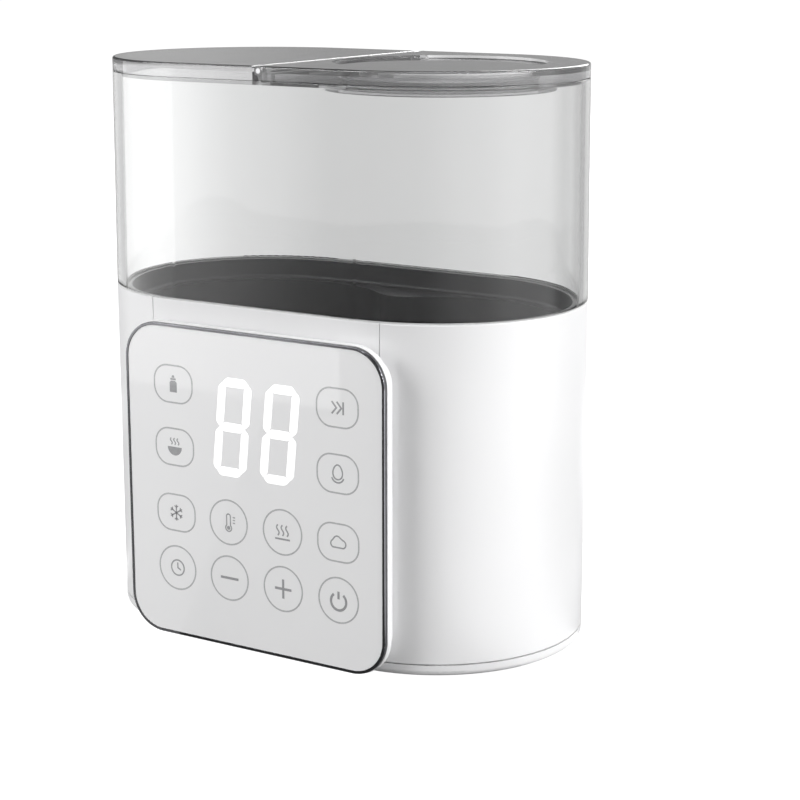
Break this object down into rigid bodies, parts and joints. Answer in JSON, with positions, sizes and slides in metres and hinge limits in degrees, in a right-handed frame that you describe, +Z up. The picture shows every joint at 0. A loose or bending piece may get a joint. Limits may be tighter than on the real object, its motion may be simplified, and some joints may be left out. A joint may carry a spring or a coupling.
{
  "type": "bottle sterilizer",
  "caption": "Stadium-shaped bottle warmer and steam sterilizer with a raised touch panel, a dark twin-well water tank, a clear lift-off hood and a flip lid.",
  "frame": {"origin": "centre of the whole footprint, panel included, on the surface the feet stand on", "axes": "+Z up; +Y from the control panel to the back; +X to the right seen from the panel side, towards the flip lid"},
  "size_m": [0.2, 0.125, 0.225],
  "materials": {
    "white_shell": "glossy white ABS, light grain",
    "clear_hood": "clear polished plastic",
    "smoky_top": "smoky translucent polished plastic",
    "dark_coating": "dark grey non-stick coating, satin",
    "dark_trim": "dark polished plating",
    "printed_glass": "pale back-printed glass, grey line art",
    "white_plastic": "plain moulded plastic",
    "black_plastic": "plain moulded plastic",
    "blue_plastic": "relay case",
    "green_terminal": "terminal block",
    "circuit_board": "coated board with plated holes",
    "silicone": "translucent white silicone",
    "grey_rubber": "moulded rubber",
    "steel": "zinc-plated steel",
    "element_steel": "heat-tinted tube",
    "aluminium": "cast aluminium",
    "brass": "plain brass",
    "copper_red": "insulated lead",
    "can": "sleeved aluminium can"
  },
  "bodies": {
    "base": {"base_shell": "white_shell", "front_fascia": "white_shell", "base_plate": "white_shell", "rubber_feet": "grey_rubber", "base_screws": "steel", "cord_gland": "white_plastic", "panel_housing": "white_shell", "panel_bezel": "dark_trim", "panel_glass": "printed_glass", "display_board": "circuit_board", "led_module": "white_plastic", "touch_pads": "grey_rubber", "fascia_screws": "steel", "buzzer": "black_plastic", "display_cable": "white_plastic", "tank": "dark_coating", "tank_deck": "white_plastic", "tank_gasket": "silicone", "tank_clamps": "steel", "clamp_screws": "steel", "heater_studs": "steel", "heater_plate": "aluminium", "heating_element": "element_steel", "element_terminals": "brass", "heater_nuts": "steel", "thermostat": "steel", "thermistor": "brass", "thermal_fuse": "steel", "power_board": "circuit_board", "board_screws": "steel", "transformer": "black_plastic", "relay": "blue_plastic", "capacitors": "can", "terminal_block": "green_terminal", "mains_fuse": "brass", "heater_wires": "copper_red"},
    "hood": {"hood_sleeve": "clear_hood", "hood_top": "smoky_top"},
    "lid": {"flip_lid": "smoky_top", "hinge_pins": "steel", "lid_plug": "smoky_top", "lid_seal": "silicone"}
  },
  "joints": [
    {"name": "hood_lift", "type": "slide", "parent": "base", "child": "hood", "axis": [0, 0, 1], "range_m": [0, 0.12]},
    {"name": "lid_hinge", "type": "hinge", "parent": "hood", "child": "lid", "pos_m": [0, 0.00375, 0.2232], "axis": [0, -1, 0], "range_deg": [0, 100]}
  ]
}
